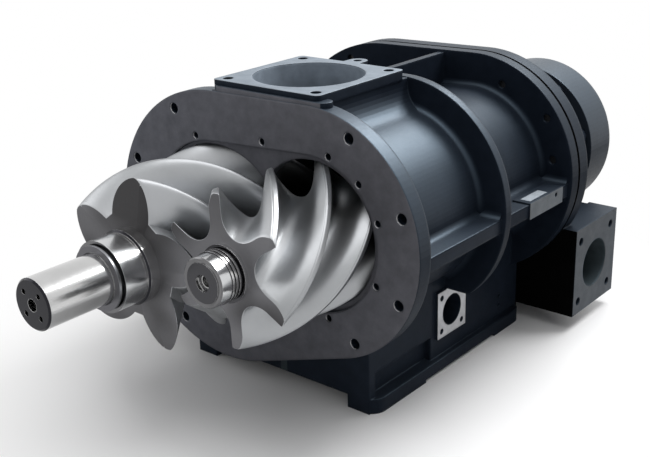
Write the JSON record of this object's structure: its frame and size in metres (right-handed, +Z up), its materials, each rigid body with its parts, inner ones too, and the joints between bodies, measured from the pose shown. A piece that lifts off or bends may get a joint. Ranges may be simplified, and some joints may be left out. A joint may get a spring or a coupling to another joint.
{
  "type": "screw compressor element",
  "caption": "Twin-screw compressor element with two meshing helical rotors standing part-way out of the open inlet end of a ribbed, flanged casing on a foot base.",
  "frame": {"origin": "centre of the four foot bolts, on the base plane", "axes": "+X towards the discharge flange, +Y along the rotors towards the discharge end, +Z up to the inlet flange"},
  "size_m": [0.4525, 0.778, 0.3645],
  "materials": {
    "casing_paint": "satin-gloss black paint over cast iron, with machined faces bare",
    "cover_paint": "satin blue-grey paint over cast iron",
    "gasket": "matt black sheet gasket",
    "rotor_steel": "ground satin steel",
    "shaft_steel": "turned and ground steel",
    "bearing_steel": "polished bearing steel",
    "cage_brass": "turned brass",
    "screw_steel": "black oxide steel"
  },
  "bodies": {
    "root": {"rotor_casing": "casing_paint", "joint_gasket": "gasket", "rear_cover": "casing_paint", "rear_cover_screws": "screw_steel", "dowel_pins": "bearing_steel", "end_cover_gasket": "gasket", "end_cover": "cover_paint", "end_cover_screws": "screw_steel", "male_clamp_ring": "shaft_steel", "female_clamp_ring": "shaft_steel", "male_roller_outer_ring": "bearing_steel", "male_roller_inner_ring": "bearing_steel", "male_rollers": "bearing_steel", "male_roller_cage": "cage_brass", "male_thrust_outer_rings": "bearing_steel", "male_thrust_inner_rings": "bearing_steel", "male_thrust_balls": "bearing_steel", "male_thrust_cages": "cage_brass", "female_roller_outer_ring": "bearing_steel", "female_roller_inner_ring": "bearing_steel", "female_rollers": "bearing_steel", "female_roller_cage": "cage_brass", "female_thrust_outer_rings": "bearing_steel", "female_thrust_inner_rings": "bearing_steel", "female_thrust_balls": "bearing_steel", "female_thrust_cages": "cage_brass"},
    "male_turning_set": {"male_rotor": "rotor_steel", "male_shaft": "shaft_steel", "male_inlet_ring": "bearing_steel", "male_stop_ring": "screw_steel"},
    "female_turning_set": {"female_rotor": "rotor_steel", "female_shaft": "shaft_steel", "female_inlet_ring": "bearing_steel"}
  },
  "joints": [
    {"name": "male_spin", "type": "hinge", "parent": "root", "child": "male_turning_set", "pos_m": [-0.0675, -0.4, 0.186], "axis": [0, 1, 0], "continuous": true},
    {"name": "female_spin", "type": "hinge", "parent": "root", "child": "female_turning_set", "pos_m": [0.0744, -0.3, 0.21051], "axis": [0, 1, 0], "continuous": true}
  ],
  "couplings": [
    {"joint": "female_spin", "follows": "male_spin", "ratio": -0.83333}
  ]
}
